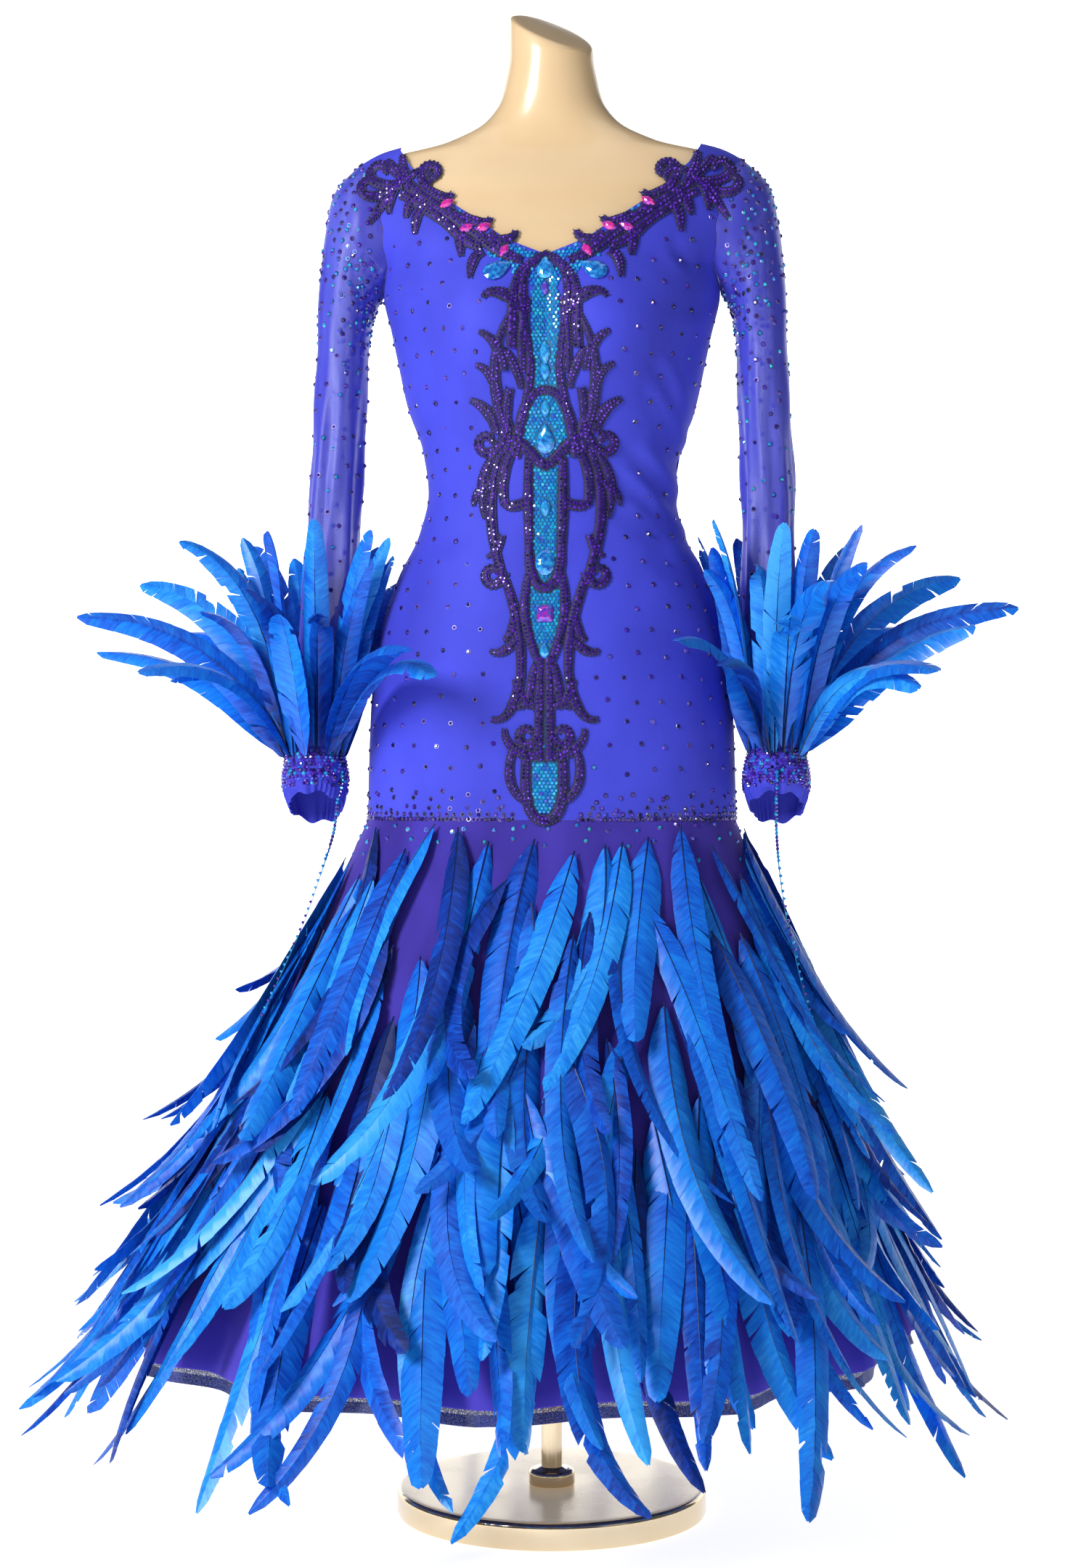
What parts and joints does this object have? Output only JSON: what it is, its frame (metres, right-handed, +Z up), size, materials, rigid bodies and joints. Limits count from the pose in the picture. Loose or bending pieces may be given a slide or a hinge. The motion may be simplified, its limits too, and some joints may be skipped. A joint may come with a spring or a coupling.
{
  "type": "ballroom gown on a dress form",
  "caption": "Ballroom gown with fitted bodice, sheer sleeves, feathered cuffs and a feathered skirt, on a limbless dress form that stands on a pole and round base.",
  "frame": {"origin": "centre of the underside of the round base", "axes": "+Z up along the pole, -Y towards the front of the gown, +X towards the wearer's left"},
  "size_m": [0.9972, 1.0182, 1.5778],
  "materials": {
    "cream_lacquer": "cream lacquer, glossy",
    "pale_gold_metal": "pale gold, satin with a glossy edge",
    "royal_jersey": "matte crepe jersey",
    "sheer_mesh": "sheer stretch mesh with a soft sheen",
    "violet_georgette": "matte georgette",
    "dark_net": "stiff net with a braid edge",
    "azure_feather": "dyed feathers",
    "indigo_beading": "faceted dark beads on cord",
    "aqua_stones": "cut stones, very glossy"
  },
  "bodies": {
    "root": {"form_torso": "cream_lacquer", "form_base": "pale_gold_metal", "form_pole": "pale_gold_metal", "form_collar": "pale_gold_metal", "bodice_front": "royal_jersey", "bodice_back_left": "royal_jersey", "bodice_back_right": "royal_jersey", "sleeve_left": "sheer_mesh", "sleeve_right": "sheer_mesh", "cuff_left": "royal_jersey", "cuff_right": "royal_jersey", "cuff_feathers_left": "azure_feather", "cuff_feathers_right": "azure_feather", "skirt": "violet_georgette", "net_petticoat": "dark_net", "skirt_feathers_1": "azure_feather", "skirt_feathers_2": "azure_feather", "skirt_feathers_3": "azure_feather", "skirt_feathers_4": "azure_feather", "skirt_feathers_5": "azure_feather", "centre_ground": "aqua_stones", "centre_scrolls": "indigo_beading", "neck_scrolls_left": "indigo_beading", "neck_scrolls_right": "indigo_beading", "wrist_string_left": "aqua_stones", "wrist_string_right": "aqua_stones"}
  },
  "joints": []
}
